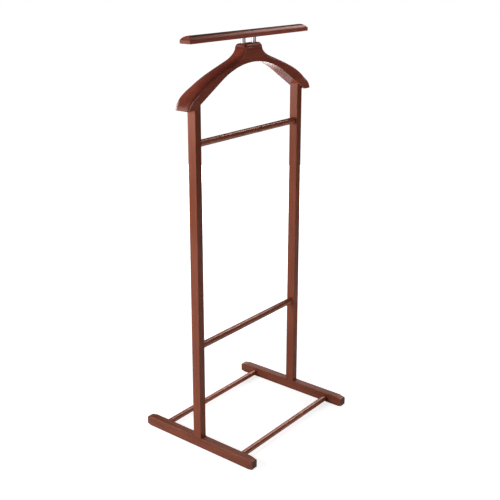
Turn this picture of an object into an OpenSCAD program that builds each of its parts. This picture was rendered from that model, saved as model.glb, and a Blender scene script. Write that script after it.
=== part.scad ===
// Clothes valet stand in stained beech. Two posts stand on two floor feet and carry a
// carved coat hanger, with a top rail on two chrome sleeves. Round bars tie it together.
// Millimetres. X runs across the stand, -Y is its front and Z is up. The origin is the
// middle of the footprint, on the floor.

/* [Frame] */
// Distance between the centre lines of the two posts
post_spacing = 420; // [400:1:440]
// Thickness of the boards that posts and feet are cut from
board_t = 21.5; // [20:0.5:25]
// Depth of a post from front to back
post_d = 25.5; // [24:0.5:30]
// Height from the top of a foot to the level ends of the hanger
post_h = 888; // [780:1:960]

/* [Feet] */
// Length of a foot from front to back
foot_len = 376; // [340:1:420]
// Height of a foot
foot_h = 28.5; // [25:0.5:34]
// Length of the slope on top of each end of a foot
toe_len = 19; // [12:0.5:26]
// Drop of that slope
toe_drop = 4.5; // [3:0.5:7]
// Length of the upturn under each end of a foot
heel_len = 12; // [8:0.5:18]
// Rise of that upturn
heel_rise = 3; // [2:0.5:5]

/* [Crossbars] */
// Diameter of the two crossbars
bar_d = 18; // [16:0.5:20]
// Diameter of the spigot turned on each end of a crossbar
bar_spigot_d = 12; // [10:0.5:14]
// Length of that spigot
bar_spigot_len = 14; // [10:0.5:16]
// Distance from the hanger's level ends down to the upper crossbar's centre
upper_bar_drop = 87; // [60:1:200]
// Distance from the tops of the feet up to the lower crossbar's centre
lower_bar_up = 261; // [150:1:350]

/* [Base rods] */
// Diameter of the two rods between the feet
rod_d = 16; // [14:0.5:18]
// Diameter of the spigot turned on each end of a rod
rod_spigot_d = 10; // [8:0.5:12]
// Length of that spigot
rod_spigot_len = 14; // [10:0.5:16]
// Height of the rods' centres above the floor
rod_up = 13; // [11:0.5:15]
// Distance of each rod's centre from the middle of the feet
rod_out = 132; // [100:1:150]

/* [Hanger] */
// How far the hanger reaches past the outer face of a post
shoulder_reach = 31.5; // [25:0.5:45]
// How far past a post the level end of the hanger starts
seat_margin = 5; // [3:0.5:10]
// Height of the arch's crown above the level ends
arch_rise = 95; // [85:1:110]
// Radius of the crown
crown_r = 245; // [180:5:260]
// Front face of the hanger, from the middle of the posts
hanger_front = 19; // [17:0.5:22]
// Back face at the neck, from the middle of the posts
hanger_back = 19; // [17:0.5:22]
// How much further back the hanger's ends reach than its neck
end_flare = 5; // [0:0.5:8]
// Height of the neck above the arch's crown
neck_rise = 47; // [40:1:58]
// Width of the top of the neck
neck_w = 71; // [66:1:76]
// Radius of the neck's upper corners
neck_corner_r = 6; // [3:0.5:8]
// Rounding along the front edge of the neck
neck_front_r = 10; // [6:0.5:13]
// Rounding along the back edge of the neck
neck_back_r = 13; // [6:0.5:13]
// Rounding along the front edge of the arms
arm_front_r = 16.5; // [8:0.5:17]
// Rounding along the back edge of the arms
arm_back_r = 17; // [8:0.5:19]
// Rounding along the front edge of the shoulder's tip
tip_front_r = 4; // [1.5:0.5:6]
// Rounding along the back edge of the shoulder's tip
tip_back_r = 3; // [2:0.5:8]
// Length over which the arm's front rounding runs out to the tip
tip_run = 22; // [14:1:34]
// Distance from the stand's middle to the foot of the neck
neck_foot_x = 83; // [78:1:92]
// Height of the foot of the neck above the arch's crown
neck_foot_rise = 8; // [6:1:14]

/* [Top rail] */
// Length of the top rail
rail_len = 476; // [440:2:540]
// Width of the rail from front to back
rail_w = 35; // [30:0.5:40]
// Height of the rail
rail_h = 18.5; // [17:0.5:24]
// Height of the rail's upright sides, below the rounded top
rail_side_h = 8; // [6:0.5:11]
// Length of the rounded slope on each end of the rail
rail_end_run = 15; // [12:0.5:22]
// Gap between the neck and the rail
rail_gap = 14.5; // [12:0.5:25]

/* [Sleeves and studs] */
// Distance between the two sleeves
sleeve_spacing = 43; // [38:0.5:44]
// Outside diameter of a sleeve
sleeve_d = 12; // [10:0.5:13]
// Wall of a sleeve
sleeve_wall = 2.5; // [1.5:0.25:2.5]
// Diameter of the stud inside a sleeve
stud_d = 6; // [5:0.5:6]
// Depth of the stud in the rail
stud_in_rail = 13; // [10:0.5:14]
// Depth of the stud in the neck
stud_in_neck = 24; // [18:1:30]

/* [Dowels and screws] */
// Diameter of the dowels
dowel_d = 8; // [6:0.5:8]
// Length of a dowel
dowel_len = 38; // [30:1:40]
// Distance between the two fixings in the end of a post
fixing_spacing = 12; // [11:0.5:13]
// Diameter of a foot screw's shank
screw_d = 6; // [5:0.5:7]
// Length of a foot screw
screw_len = 68; // [50:1:80]
// Diameter of a foot screw's head
screw_head_d = 11.5; // [10:0.5:12]
// Depth of the screw head below the underside of the foot
screw_sink = 1; // [0.5:0.5:3]
// Width of the hexagon socket in the screw head, across its corners
screw_key_d = 4.6; // [3:0.1:5]

/* [Fits] */
// Clearance between a round tenon, dowel, screw or stud and the wall of its hole
glue_gap = 0.1; // [0.05:0.05:0.2]
// Spare depth at the bottom of a blind hole
hole_spare = 1; // [0.5:0.5:2]

/* [Hidden] */

wood = "#8a4b3c";
end_grain = "#a9745a";
chrome = "#c9ccd0";
steel = "#8f9296";
round_fn = 64;
cut = 1;

// Faces and levels that several pieces share
post_x = post_spacing / 2;
post_in = post_x - board_t / 2;
post_out = post_x + board_t / 2;
hanger_z = foot_h + post_h;
crown_z = hanger_z + arch_rise;
neck_z = crown_z + neck_rise;
rail_z = neck_z + rail_gap;
upper_bar_z = hanger_z - upper_bar_drop;
lower_bar_z = foot_h + lower_bar_up;

// The arch under the hanger: a round crown, then a straight flank that is tangent to it
// and comes down to the level ends just outside the posts.
arch_end_x = post_out + seat_margin;
crown_mid = arch_rise - crown_r;
arch_far = norm([arch_end_x, crown_mid]);
crown_turn = atan2(arch_end_x, -crown_mid) - acos(crown_r / arch_far);
crown_path = crown_r * crown_turn * PI / 180;
flank_path = sqrt(arch_far * arch_far - crown_r * crown_r);
arch_path = crown_path + flank_path;
flank_top = [crown_r * sin(crown_turn), crown_mid + crown_r * cos(crown_turn)];
flank_dir = [cos(crown_turn), -sin(crown_turn)];

// Point of the arch at a path length from the crown, above the hanger's ends
function arch_point(path) = path < crown_path
    ? let (turn = path / crown_path * crown_turn)
      [crown_r * sin(turn), crown_mid + crown_r * cos(turn)]
    : flank_top + (path - crown_path) * flank_dir;

// Height of the arch's straight flank at a distance from the stand's middle
function flank_z(x) = hanger_z + (arch_end_x - x) * tan(crown_turn);

function bezier(a, b, c, d, t) =
    pow(1 - t, 3) * a + 3 * pow(1 - t, 2) * t * b + 3 * (1 - t) * t * t * c + t * t * t * d;
function blend(a, b, t) = a + (b - a) * t;
function smooth(t) = let (u = min(1, max(0, t))) u * u * (3 - 2 * u);

// The upper outline of the hanger's right half, as points above the hanger's ends.
// Each station pairs such a point with a path length along the arch below it.
neck_top = arch_rise + neck_rise;
neck_half = neck_w / 2;
neck_foot = [neck_foot_x, arch_rise + neck_foot_rise];
tip = [post_out + shoulder_reach, 0];
neck_side = [neck_half, neck_top - neck_corner_r];

// The neck's side leaves its corner nearly upright and sweeps out to its foot. The
// shoulder leaves the foot at the slope below, and comes down steeply on its tip.
neck_lean = 2;
neck_steep = 13;
neck_sweep = 24;
shoulder_slope = 0.365;
shoulder_run = 88;
tip_draw = 8;
tip_lift = 47;

// Path lengths under the arch where the neck's top, its corner and its foot are paired
top_path = 20;
corner_path = 22;
foot_path = 58;

// Steps along each stretch of the outline
top_steps = 3;
corner_steps = 4;
side_steps = 9;
shoulder_steps = 22;

top_stations = [for (i = [0:top_steps])
    [[(neck_half - neck_corner_r) * i / top_steps, neck_top], top_path * i / top_steps]];
corner_stations = [for (i = [1:corner_steps]) let (turn = 90 * i / corner_steps)
    [[neck_half - neck_corner_r * (1 - sin(turn)), neck_top - neck_corner_r * (1 - cos(turn))],
     blend(top_path, corner_path, i / corner_steps)]];
side_stations = [for (i = [1:side_steps]) let (t = i / side_steps)
    [bezier(neck_side, neck_side + [neck_lean, -neck_steep],
        neck_foot + [-neck_sweep, neck_sweep * shoulder_slope], neck_foot, t),
     blend(corner_path, foot_path, t)]];
shoulder_stations = [for (i = [1:shoulder_steps]) let (t = i / shoulder_steps)
    [bezier(neck_foot, neck_foot + [shoulder_run, -shoulder_run * shoulder_slope],
        tip + [-tip_draw, tip_lift], tip, t),
     blend(foot_path, arch_path, t)]];
half_stations = concat(top_stations, corner_stations, side_stations, shoulder_stations);

// One ring of points around the hanger at a station: up the flat front face, over the
// rounded top and down the back face
ring_steps = 5;
ring_size = 2 * (ring_steps + 1) + 2;
function ring(station, side) =
    let (
        top = station[0],
        low = arch_point(station[1]),
        up = (top - low) / norm(top - low),
        out = top[0] / tip[0],
        to_arm = smooth((top[0] - neck_half) / (neck_foot_x - neck_half)),
        to_tip = smooth((top[0] - post_in) / (tip[0] - post_in)),
        to_end = smooth((top[0] - tip[0] + tip_run) / tip_run),
        front_r = blend(blend(neck_front_r, arm_front_r, to_arm), tip_front_r, to_end),
        back_r = blend(blend(neck_back_r, arm_back_r, to_arm), tip_back_r, to_tip),
        back = hanger_back + end_flare * out * out,
        turns = [for (i = [0:ring_steps]) 90 * i / ring_steps],
        front_arc = [for (turn = turns)
            [top - up * front_r * (1 - sin(turn)), front_r * (1 - cos(turn)) - hanger_front]],
        back_arc = [for (turn = turns)
            [top - up * back_r * (1 - cos(turn)), back - back_r * (1 - sin(turn))]],
        section = concat([[low, -hanger_front]], front_arc, back_arc, [[low, back]])
    )
    [for (p = section) [side * p[0][0], p[1], hanger_z + p[0][1]]];

module hanger_blank() {
    count = len(half_stations);
    rings = concat(
        [for (i = [count - 1:-1:1]) ring(half_stations[i], -1)],
        [for (i = [0:count - 1]) ring(half_stations[i], 1)]);
    points = [for (r = rings) each r];
    last = len(rings) - 1;
    sides = [for (i = [0:last - 1], k = [0:ring_size - 1])
        let (a = i * ring_size + k, b = i * ring_size + (k + 1) % ring_size)
        each [[a, b, b + ring_size], [a, b + ring_size, a + ring_size]]];
    left_end = [for (k = [ring_size - 1:-1:0]) k];
    right_end = [for (k = [0:ring_size - 1]) last * ring_size + k];
    polyhedron(points, concat(sides, [left_end, right_end]), convexity = 6);
}

// A round hole or peg along Z, from one level up to another
module upright(d, low, high) {
    translate([0, 0, low]) cylinder(d = d, h = high - low, $fn = round_fn);
}

// Places the fixings in the ends of a post: one to the front and one to the rear
module at_fixing(side, place) {
    translate([side * post_x, place * fixing_spacing / 2, 0]) children();
}

joint_z = flank_z(post_x);
dowel_hole_d = dowel_d + 2 * glue_gap;
hanger_dowel_low = joint_z - dowel_len / 2;
hanger_dowel_high = joint_z + dowel_len / 2;
foot_dowel_low = foot_h - dowel_len / 2;
foot_dowel_high = foot_h + dowel_len / 2;
screw_head_h = (screw_head_d - screw_d) / 2;
screw_top = screw_sink + screw_len;
stud_low = neck_z - stud_in_neck;
stud_high = rail_z + stud_in_rail;
stud_hole_d = stud_d + 2 * glue_gap;
sleeve_bore_d = sleeve_d - 2 * sleeve_wall;

// A foot: a straight bar with sloped ends, drilled for its post's fixings from above and
// below and for the two base rods from the inner face
module foot(side) {
    half = foot_len / 2;
    profile = [
        [-half + heel_len, 0], [half - heel_len, 0], [half, heel_rise],
        [half, foot_h - toe_drop], [half - toe_len, foot_h],
        [-half + toe_len, foot_h], [-half, foot_h - toe_drop], [-half, heel_rise]
    ];
    color(wood) difference() {
        translate([side * post_x - board_t / 2, 0, 0])
            rotate([90, 0, 90]) linear_extrude(board_t) polygon(profile);
        for (y = [-rod_out, rod_out])
            socket(side, y, rod_up, rod_spigot_d, rod_spigot_len);
        at_fixing(side, 1) upright(dowel_hole_d, foot_dowel_low - hole_spare, foot_h + cut);
        at_fixing(side, -1) {
            upright(screw_d + 2 * glue_gap, -cut, foot_h + cut);
            upright(screw_head_d + 2 * glue_gap, -cut, screw_sink);
            translate([0, 0, screw_sink]) cylinder(d1 = screw_head_d + 2 * glue_gap,
                d2 = screw_d + 2 * glue_gap, h = screw_head_h, $fn = round_fn);
        }
    }
}

// A blind hole from the inner face of a foot or post, for the spigot of a bar or rod
module socket(side, y, z, spigot_d, spigot_len) {
    translate([side * (post_in - cut), y, z]) rotate([0, side * 90, 0])
        cylinder(d = spigot_d + 2 * glue_gap, h = cut + spigot_len + hole_spare, $fn = round_fn);
}

// A post: a square bar whose head is cut to the slope of the arch, drilled at both ends
// for its fixings and on its inner face for the two crossbars
module post(side) {
    outline = [
        [post_in, foot_h], [post_out, foot_h],
        [post_out, flank_z(post_out)], [post_in, flank_z(post_in)]
    ];
    color(wood) difference() {
        translate([0, post_d / 2, 0]) rotate([90, 0, 0]) linear_extrude(post_d)
            polygon([for (p = outline) [side * p[0], p[1]]]);
        for (z = [lower_bar_z, upper_bar_z])
            socket(side, 0, z, bar_spigot_d, bar_spigot_len);
        at_fixing(side, 1) upright(dowel_hole_d, foot_h - cut, foot_dowel_high + hole_spare);
        at_fixing(side, -1)
            upright(screw_d + 2 * glue_gap, foot_h - cut, screw_top + hole_spare);
        for (place = [-1, 1]) at_fixing(side, place)
            upright(dowel_hole_d, hanger_dowel_low - hole_spare, hanger_dowel_high);
    }
}

// A round bar along X between the inner faces of posts or feet, with turned spigots
module round_bar(d, spigot_d, spigot_len) {
    color(wood) rotate([0, 90, 0]) {
        translate([0, 0, -post_in]) cylinder(d = d, h = 2 * post_in, $fn = round_fn);
        translate([0, 0, -post_in - spigot_len])
            cylinder(d = spigot_d, h = 2 * (post_in + spigot_len), $fn = round_fn);
    }
}

module crossbar(z) {
    translate([0, 0, z]) round_bar(bar_d, bar_spigot_d, bar_spigot_len);
}

module base_rod(place) {
    translate([0, place * rod_out, rod_up]) round_bar(rod_d, rod_spigot_d, rod_spigot_len);
}

// The hanger: the carved blank, drilled from below for the posts' dowels and from the
// top of the neck for the studs
module hanger() {
    color(wood) difference() {
        hanger_blank();
        for (side = [-1, 1]) {
            for (place = [-1, 1]) at_fixing(side, place)
                upright(dowel_hole_d, hanger_dowel_low, hanger_dowel_high + hole_spare);
            at_sleeve(side) upright(stud_hole_d, stud_low - hole_spare, neck_z + cut);
        }
    }
}

module at_sleeve(side) {
    translate([side * sleeve_spacing / 2, 0, 0]) children();
}

// The top rail: flat below, upright sides, a top rounded across its width, and ends
// rounded down to the same upright height
module top_rail() {
    crest = rail_h - rail_side_h;
    top_r = (rail_w * rail_w / 4 + crest * crest) / (2 * crest);
    end_r = (rail_end_run * rail_end_run + crest * crest) / (2 * crest);
    half = rail_len / 2;
    color(wood) difference() {
        translate([0, 0, rail_z]) intersection() {
            translate([-half, -rail_w / 2, 0]) cube([rail_len, rail_w, rail_h]);
            union() {
                translate([-half, -rail_w / 2, 0]) cube([rail_len, rail_w, rail_side_h]);
                translate([-half, 0, rail_h - top_r]) rotate([0, 90, 0])
                    cylinder(r = top_r, h = rail_len, $fn = 128);
            }
            union() {
                translate([-half, -rail_w / 2, 0]) cube([rail_len, rail_w, rail_side_h]);
                translate([rail_end_run - half, -rail_w / 2, 0])
                    cube([rail_len - 2 * rail_end_run, rail_w, rail_h]);
                for (end = [-1, 1])
                    translate([end * (half - rail_end_run), rail_w / 2, rail_h - end_r])
                        rotate([90, 0, 0]) cylinder(r = end_r, h = rail_w, $fn = 96);
            }
        }
        for (side = [-1, 1]) at_sleeve(side)
            upright(stud_hole_d, rail_z - cut, stud_high + hole_spare);
    }
}

// A chrome sleeve that spaces the rail off the neck
module rail_sleeve(side) {
    color(chrome) at_sleeve(side) difference() {
        upright(sleeve_d, neck_z, rail_z);
        upright(sleeve_bore_d, neck_z - cut, rail_z + cut);
    }
}

// A steel stud through a sleeve, with both ends tapered
module rail_stud(side) {
    taper = stud_d / 4;
    color(steel) at_sleeve(side) {
        upright(stud_d, stud_low + taper, stud_high - taper);
        translate([0, 0, stud_low])
            cylinder(d1 = stud_d - 2 * taper, d2 = stud_d, h = taper, $fn = round_fn);
        translate([0, 0, stud_high - taper])
            cylinder(d1 = stud_d, d2 = stud_d - 2 * taper, h = taper, $fn = round_fn);
    }
}

// A countersunk screw up through a foot into the end of its post
module foot_screw(side) {
    point_h = screw_d / 2;
    color(steel) at_fixing(side, -1) difference() {
        union() {
            translate([0, 0, screw_sink])
                cylinder(d1 = screw_head_d, d2 = screw_d, h = screw_head_h, $fn = round_fn);
            upright(screw_d, screw_sink + screw_head_h, screw_top - point_h);
            translate([0, 0, screw_top - point_h])
                cylinder(d1 = screw_d, d2 = screw_d / 3, h = point_h, $fn = round_fn);
        }
        translate([0, 0, screw_sink - cut])
            cylinder(d = screw_key_d, h = cut + screw_head_h, $fn = 6);
    }
}

// A beech dowel with both ends tapered
module dowel(low) {
    taper = dowel_d / 8;
    color(end_grain) {
        upright(dowel_d, low + taper, low + dowel_len - taper);
        translate([0, 0, low])
            cylinder(d1 = dowel_d - 2 * taper, d2 = dowel_d, h = taper, $fn = round_fn);
        translate([0, 0, low + dowel_len - taper])
            cylinder(d1 = dowel_d, d2 = dowel_d - 2 * taper, h = taper, $fn = round_fn);
    }
}

module foot_dowel(side) {
    at_fixing(side, 1) dowel(foot_dowel_low);
}

module hanger_dowel(side, place) {
    at_fixing(side, place) dowel(hanger_dowel_low);
}

foot(-1);  // left_foot
foot(1);  // right_foot
post(-1);  // left_post
post(1);  // right_post
crossbar(upper_bar_z);  // upper_crossbar
crossbar(lower_bar_z);  // lower_crossbar
base_rod(-1);  // front_base_rod
base_rod(1);  // rear_base_rod
hanger();
top_rail();
rail_sleeve(-1);  // left_rail_sleeve
rail_sleeve(1);  // right_rail_sleeve
rail_stud(-1);  // left_rail_stud
rail_stud(1);  // right_rail_stud
foot_screw(-1);  // left_foot_screw
foot_screw(1);  // right_foot_screw
foot_dowel(-1);  // left_foot_dowel
foot_dowel(1);  // right_foot_dowel
hanger_dowel(-1, -1);  // left_front_hanger_dowel
hanger_dowel(-1, 1);  // left_rear_hanger_dowel
hanger_dowel(1, -1);  // right_front_hanger_dowel
hanger_dowel(1, 1);  // right_rear_hanger_dowel
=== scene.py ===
import bmesh
import bpy
import numpy as np
from mathutils import Matrix, Vector


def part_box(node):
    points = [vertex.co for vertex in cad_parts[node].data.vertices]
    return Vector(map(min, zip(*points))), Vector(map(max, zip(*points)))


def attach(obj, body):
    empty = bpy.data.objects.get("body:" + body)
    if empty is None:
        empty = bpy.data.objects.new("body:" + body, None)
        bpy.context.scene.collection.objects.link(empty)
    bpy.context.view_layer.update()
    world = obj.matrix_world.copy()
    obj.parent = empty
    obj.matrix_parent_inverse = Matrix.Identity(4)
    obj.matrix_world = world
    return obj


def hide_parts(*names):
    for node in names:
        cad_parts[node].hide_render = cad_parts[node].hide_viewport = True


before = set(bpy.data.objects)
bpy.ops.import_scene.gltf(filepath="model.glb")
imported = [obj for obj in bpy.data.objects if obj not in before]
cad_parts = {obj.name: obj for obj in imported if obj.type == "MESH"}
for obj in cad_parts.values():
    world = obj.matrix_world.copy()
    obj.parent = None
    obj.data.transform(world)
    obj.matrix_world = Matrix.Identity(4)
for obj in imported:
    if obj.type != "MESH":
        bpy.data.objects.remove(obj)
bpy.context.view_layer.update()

# ---------------------------------------------------------------------------------------
# The feet: two straight bars of stained beech that lie on the floor. Their ends slope on
# top and turn up a little below. Their edges are rounded over, but not under the post,
# where foot and post were sanded flush after they were joined.
# ---------------------------------------------------------------------------------------
TOE_LEN = 0.019
TOE_DROP = 0.0045
HEEL_LEN = 0.012
HEEL_RISE = 0.003
FOOT_CORNER = 0.002
FOOT_EDGE = 0.0016
SANDED_EDGE = 0.0001
SANDED_RUN = 0.005
ARC_STEPS = 6
SIDES = {"left": -1, "right": 1}


def node_box(node):
    """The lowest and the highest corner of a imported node, as arrays."""
    return np.array(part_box(node)[0]), np.array(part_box(node)[1])


def node_middle(node):
    """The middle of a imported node's box."""
    low, high = node_box(node)
    return (low + high) / 2


def rounded_outline(corners, radius):
    """Closed outline of a polygon with round corners, and its outward normals.

    The corners run anticlockwise. At each one the normal turns evenly from the edge before
    to the edge after, and a point is the arc's centre plus the radius times the normal."""
    corners = np.array(corners, float)
    before = corners - np.roll(corners, 1, 0)
    before /= np.linalg.norm(before, axis=1, keepdims=True)
    normal = np.stack([before[:, 1], -before[:, 0]], 1)
    following = np.roll(normal, -1, 0)
    level = (normal * following).sum(1)
    centre = corners - radius * (normal + following) / (1 + level)[:, None]
    bend = np.arctan2(normal[:, 0] * following[:, 1] - normal[:, 1] * following[:, 0], level)
    start = np.arctan2(normal[:, 1], normal[:, 0])
    turn = start[:, None] + bend[:, None] * np.linspace(0, 1, ARC_STEPS + 1)
    normals = np.stack([np.cos(turn), np.sin(turn)], 2)
    return (centre[:, None] + radius * normals).reshape(-1, 2), normals.reshape(-1, 2)


def smooth(share):
    """Eases a share from 0 to 1 along a curve that is level at both ends."""
    share = np.clip(share, 0, 1)
    return share * share * (3 - 2 * share)


def foot_surface(low, high, post_half):
    """Points of a foot, in rings across its width, and how much paler edge colour each takes,
    partly wear and partly a painted edge highlight.

    Along each ring runs the side outline. The rings go from one side face to the other: on
    each edge a quarter turn moves them in by edge * (1 - cos turn) from the face while
    the outline grows back by edge * (1 - sin turn) to its full size."""
    half, top = high[1], high[2]
    corners = [
        (HEEL_LEN - half, 0), (half - HEEL_LEN, 0), (half, HEEL_RISE), (half, top - TOE_DROP),
        (half - TOE_LEN, top), (TOE_LEN - half, top), (-half, top - TOE_DROP), (-half, HEEL_RISE),
    ]
    outline, normals = rounded_outline(corners, FOOT_CORNER)
    beside_post = post_half + SANDED_RUN * np.linspace(1, 0, ARC_STEPS)
    on_top = np.concatenate([beside_post, -beside_post[::-1]])
    corners_before_post = 5
    seat = corners_before_post * (ARC_STEPS + 1)
    outline = np.insert(outline, seat, np.stack([on_top, on_top * 0 + top], 1), 0)
    normals = np.insert(normals, seat, np.stack([on_top * 0, on_top * 0 + 1], 1), 0)
    eased = smooth((np.abs(outline[:, 0]) - post_half) / SANDED_RUN)
    eased[outline[:, 1] < top - TOE_DROP] = 1
    edge = SANDED_EDGE + (FOOT_EDGE - SANDED_EDGE) * eased
    turn = np.linspace(0, np.pi / 2, ARC_STEPS + 1)[:, None]
    step = edge * (1 - np.cos(turn))
    inset = edge * (1 - np.sin(turn))
    x = np.concatenate([low[0] + step, (high[0] - step)[::-1]])
    inset = np.concatenate([inset, inset[::-1]])
    side = outline - inset[..., None] * normals
    # Painted edge highlight and wear: the edge rings take the paler colour, most at the middle of
    # each round.
    rub_and_glint = np.sin(2 * turn) * eased
    return np.dstack([x, side]), np.concatenate([rub_and_glint, rub_and_glint[::-1]])


def make_piece(name, rings, rub_and_glint=None, bored=False):
    """A closed mesh object from rings of points, each of which closes on itself.

    The first and last ring are closed by a flat face, or joined to each other when bored."""
    count, around = rings.shape[:2]
    spans = count if bored else count - 1
    ring, spot = np.indices((spans, around))
    here = ring * around + spot
    beside = ring * around + (spot + 1) % around
    quads = np.stack([here, beside, beside + around, here + around], 2) % (count * around)
    faces = quads.reshape(-1, 4).tolist()
    if not bored:
        faces += [list(range(around)), list(range((count - 1) * around, count * around))]
    mesh = bpy.data.meshes.new(name)
    mesh.from_pydata(rings.reshape(-1, 3).tolist(), [], faces)
    shape = bmesh.new()
    shape.from_mesh(mesh)
    bmesh.ops.recalc_face_normals(shape, faces=shape.faces)
    shape.to_mesh(mesh)
    shape.free()
    if rub_and_glint is not None:
        mesh.attributes.new("rub_and_glint", "FLOAT", "POINT").data.foreach_set("value", rub_and_glint.ravel())
    made = bpy.data.objects.new(name, mesh)
    bpy.context.collection.objects.link(made)
    return made


ROUND_SIDES = 64


def turned_surface(profile, centre, axis, wave=0):
    """Points of a profile carried once round an axis.

    A row of the profile is a distance along the axis and a radius. A point is the centre
    plus the distance along the axis, plus the radius, with any wave added to it, times the
    direction that the turn gives square to the axis."""
    profile = np.array(profile, float)
    turn = np.arange(ROUND_SIDES) * 2 * np.pi / ROUND_SIDES
    axis = np.array(axis, float)
    across = np.roll(axis, 1)
    beyond = np.cross(axis, across)
    direction = np.cos(turn)[:, None] * across + np.sin(turn)[:, None] * beyond
    radius = profile[:, 1, None] + np.zeros(ROUND_SIDES) + wave
    along = profile[:, 0, None, None] * axis
    return np.array(centre, float) + along + radius[..., None] * direction


GLUE_GAP = 0.0001
HOLE_SPARE = 0.001
CUT = 0.001


def hole(diameter, centre, axis, low, high):
    """A round hole's closed cutter, from one distance along the axis to another."""
    radius = diameter / 2 + GLUE_GAP
    return make_piece("cutter", turned_surface([(low, radius), (high, radius)], centre, axis))


CREASE = np.radians(33)


def finish_piece(piece, material, node, cutters=()):
    """Drills a piece, shades it smooth between its creases and puts it in its node's place."""
    for cutter in cutters:
        drill = piece.modifiers.new("drill", "BOOLEAN")
        drill.operation = "DIFFERENCE"
        drill.solver = "EXACT"
        drill.object = cutter
    bpy.context.view_layer.update()
    evaluated = piece.evaluated_get(bpy.context.evaluated_depsgraph_get())
    mesh = bpy.data.meshes.new_from_object(evaluated)
    piece.modifiers.clear()
    blank, piece.data = piece.data, mesh
    bpy.data.meshes.remove(blank)
    for cutter in cutters:
        bpy.data.objects.remove(cutter)
    mesh.shade_smooth()
    mesh.set_sharp_from_angle(angle=CREASE)
    flats = piece.modifiers.new("flat faces stay flat", "WEIGHTED_NORMAL")
    flats.keep_sharp = True
    mesh.materials.clear()
    mesh.materials.append(material)
    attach(piece, "root")
    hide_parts(node)


def add_node(tree, kind, inputs=None, **options):
    """Adds a shader node with its options set and its inputs linked or given a value."""
    made = tree.nodes.new("ShaderNode" + kind)
    for option, value in options.items():
        setattr(made, option, value)
    for socket, value in (inputs or {}).items():
        if isinstance(value, bpy.types.NodeSocket):
            tree.links.new(value, made.inputs[socket])
        else:
            made.inputs[socket].default_value = value
    return made


def calculate(tree, operation, *terms):
    """A Math node's result."""
    return add_node(tree, "Math", dict(enumerate(terms)), operation=operation).outputs[0]


def reckon(tree, operation, *terms):
    """A Vector Math node's results."""
    return add_node(tree, "VectorMath", dict(enumerate(terms)), operation=operation).outputs


def stretched(tree, vector, waves):
    """A vector scaled by the waves to the metre along the grain, its X, and across it."""
    along, across = waves
    return reckon(tree, "MULTIPLY", vector, (along, across, across))["Vector"]


def noise(tree, vector, detail=2.0, roughness=0.5, distortion=0.0):
    """A Noise Texture's grey value at scale 1."""
    inputs = {"Vector": vector, "Scale": 1.0, "Detail": detail, "Roughness": roughness}
    inputs["Distortion"] = distortion
    return add_node(tree, "TexNoise", inputs).outputs["Fac"]


def fade(tree, value, low, high):
    """A value mapped from the range low to high to a smooth 0 to 1."""
    inputs = {"Value": value, "From Min": low, "From Max": high}
    return add_node(tree, "MapRange", inputs, interpolation_type="SMOOTHSTEP").outputs["Result"]


def blend(tree, share, first, second):
    """A colour between two colours."""
    inputs = {"Factor": share, 6: first, 7: second}
    return add_node(tree, "Mix", inputs, data_type="RGBA").outputs[2]


def new_material(name):
    """A material, with its node tree, its shader's inputs and the piece's own coordinates."""
    material = bpy.data.materials.new(name)
    material.use_nodes = True
    tree = material.node_tree
    place = add_node(tree, "TexCoord").outputs["Object"]
    return material, tree, tree.nodes["Principled BSDF"].inputs, place


def new_group(name, inputs, outputs):
    """An empty shader node group with named sockets, with its input and output nodes."""
    tree = bpy.data.node_groups.new(name, "ShaderNodeTree")
    for socket, kind in inputs.items():
        tree.interface.new_socket(socket, in_out="INPUT", socket_type="NodeSocket" + kind)
    for socket, kind in outputs.items():
        tree.interface.new_socket(socket, in_out="OUTPUT", socket_type="NodeSocket" + kind)
    return tree, tree.nodes.new("NodeGroupInput").outputs, tree.nodes.new("NodeGroupOutput")


# The beech's figure, in waves to the metre along and across the grain
WOBBLE = (4, 40)
FIBRES = (14, 850)
CLOUDS = (7, 26)
STREAKS = (3, 190)
FLECKS = (260, 1150)
# The growth rings: the way from their pith, how far a ring wanders, and radians to the metre
PITH = (0, 0.067, -0.048)
RING_WANDER = 0.012
RING_RADIANS = 2100.0
# How much of the stain's tone each part of the figure makes, and the tones it is spread over
CLOUD_SHARE = 0.62
STREAK_SHARE = 0.34
FIBRE_SHARE = 0.3
RING_SHARE = 0.09
FLECK_SHARE = -0.16
STAIN_TONES = (0.2, 1.1)
# Where a fleck fades out from the middle of its cell, and its depth in the relief
FLECK_RIM = (0.24, 0.12)
FLECK_DEPTH = -0.5
# How squarely a face has to cut the grain to drink more stain, and how much darker it gets
END_FACING = (0.4, 1.0)
END_SOAK = 0.55
LACQUER_ROUGHNESS = 0.22
FIBRE_ROUGHNESS = 0.08
END_ROUGHNESS = 0.05
BLACK = (0, 0, 0, 1)


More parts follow.
